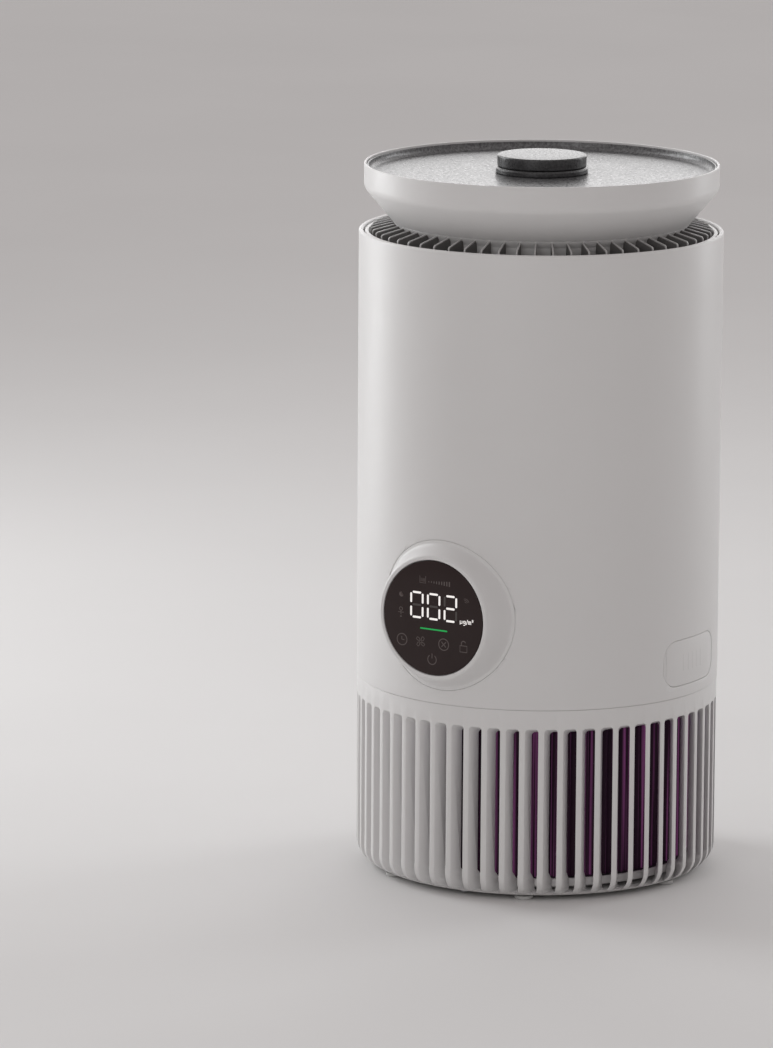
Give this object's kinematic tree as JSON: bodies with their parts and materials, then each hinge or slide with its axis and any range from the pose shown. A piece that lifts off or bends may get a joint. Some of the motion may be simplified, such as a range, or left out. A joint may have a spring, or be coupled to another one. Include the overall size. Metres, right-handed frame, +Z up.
{
  "type": "air purifier",
  "caption": "Desktop cylindrical air purifier with slotted intake base, lift-off body, round display, ring outlet grille and a grey dished top with a lift-off scent knob.",
  "frame": {"origin": "middle of the bottom of the bounding box, on the surface that the feet stand on; the object's own axis is 4.5 mm behind it at y = +0.0045, because the display stands out in front", "axes": "+Z up along the body's axis, -Y out of the display, +X and -X out of the two release buttons, +Y out of the power inlet"},
  "size_m": [0.206, 0.215, 0.4093],
  "materials": {
    "white_shell": "moulded white plastic with a fine, even texture and a soft sheen",
    "inner_white_plastic": "plain moulded plastic",
    "fan_grey_plastic": "plain moulded grey plastic",
    "tray_grey": "finely grained grey, bright at a low angle",
    "grille_dark_grey": "moulded dark grey, matt",
    "black_plastic": "plain moulded black plastic",
    "filter_fleece": "pleated dark fleece, lit violet",
    "carbon_felt": "coarse carbon felt",
    "black_rubber": "matt rubber",
    "pale_rubber": "matt light grey rubber",
    "white_felt": "soft felt",
    "violet_light": "clear violet light guide",
    "display_glass": "black backed glass with lit signs behind it",
    "circuit_board": "green lacquered board",
    "wire_black": "soft wire cover",
    "motor_housing": "satin painted steel",
    "motor_windings": "enamelled copper on a laminated core",
    "steel": "turned and plated steel"
  },
  "bodies": {
    "base": {"intake_basket": "white_shell", "base_plate": "white_shell", "foot_1": "pale_rubber", "foot_2": "pale_rubber", "foot_3": "pale_rubber", "foot_4": "pale_rubber", "foot_5": "pale_rubber", "foot_6": "pale_rubber", "base_screw_1": "steel", "base_screw_2": "steel", "base_screw_3": "steel"},
    "filter": {"filter_media": "filter_fleece", "filter_bottom_cap": "black_plastic", "filter_top_cap": "black_plastic", "filter_gasket": "black_rubber", "carbon_core": "carbon_felt", "filter_pull_tab": "white_felt"},
    "housing": {"outer_shell": "white_shell", "intake_plate": "fan_grey_plastic", "intake_guard": "fan_grey_plastic", "uv_light_ring": "violet_light", "plate_screw_1": "steel", "plate_screw_2": "steel", "plate_screw_3": "steel", "duct_foot": "white_shell", "duct_tube": "white_shell", "duct_flare": "white_shell", "stator_vanes": "inner_white_plastic", "motor_can": "motor_housing", "motor_cap": "motor_housing", "motor_stator": "motor_windings", "bearing_lower": "steel", "bearing_upper": "steel", "diffuser_cone": "inner_white_plastic", "outlet_grille": "grille_dark_grey", "top_cone": "white_shell", "top_inlay": "tray_grey", "knob_collar": "tray_grey", "aroma_cup": "inner_white_plastic", "aroma_pad": "white_felt", "main_board": "circuit_board", "display_bezel": "white_shell", "display_glass": "display_glass", "display_board": "circuit_board", "power_inlet": "black_plastic", "power_board": "circuit_board", "power_lead": "wire_black", "air_sensor": "black_plastic", "latch_spring_right": "steel", "latch_spring_left": "steel"},
    "impeller": {"fan_impeller": "fan_grey_plastic", "motor_shaft": "steel", "motor_rotor": "steel", "impeller_nut": "steel"},
    "button_right": {"push_button_right": "white_shell", "latch_arm_right": "inner_white_plastic"},
    "button_left": {"push_button_left": "white_shell", "latch_arm_left": "inner_white_plastic"},
    "knob": {"aroma_knob": "tray_grey"}
  },
  "joints": [
    {"name": "body_lift", "type": "slide", "parent": "base", "child": "housing", "axis": [0, 0, 1], "range_m": [0, 0.25]},
    {"name": "filter_lift", "type": "slide", "parent": "base", "child": "filter", "axis": [0, 0, 1], "range_m": [0, 0.1]},
    {"name": "fan_spin", "type": "hinge", "parent": "housing", "child": "impeller", "pos_m": [0, 0.0045, 0.17], "axis": [0, 0, 1], "continuous": true},
    {"name": "button_right_press", "type": "slide", "parent": "housing", "child": "button_right", "axis": [-1, 0, 0], "range_m": [0, 0.003], "stiffness_N_per_m": 600, "springref_m": -0.002, "deforming": ["latch_spring_right"]},
    {"name": "button_left_press", "type": "slide", "parent": "housing", "child": "button_left", "axis": [1, 0, 0], "range_m": [0, 0.003], "stiffness_N_per_m": 600, "springref_m": -0.002, "deforming": ["latch_spring_left"]},
    {"name": "knob_lift", "type": "slide", "parent": "housing", "child": "knob", "axis": [0, 0, 1], "range_m": [0, 0.03]}
  ],
  "couplings": [
    {"joint": "filter_lift", "follows": "body_lift", "ratio": 0.4}
  ]
}
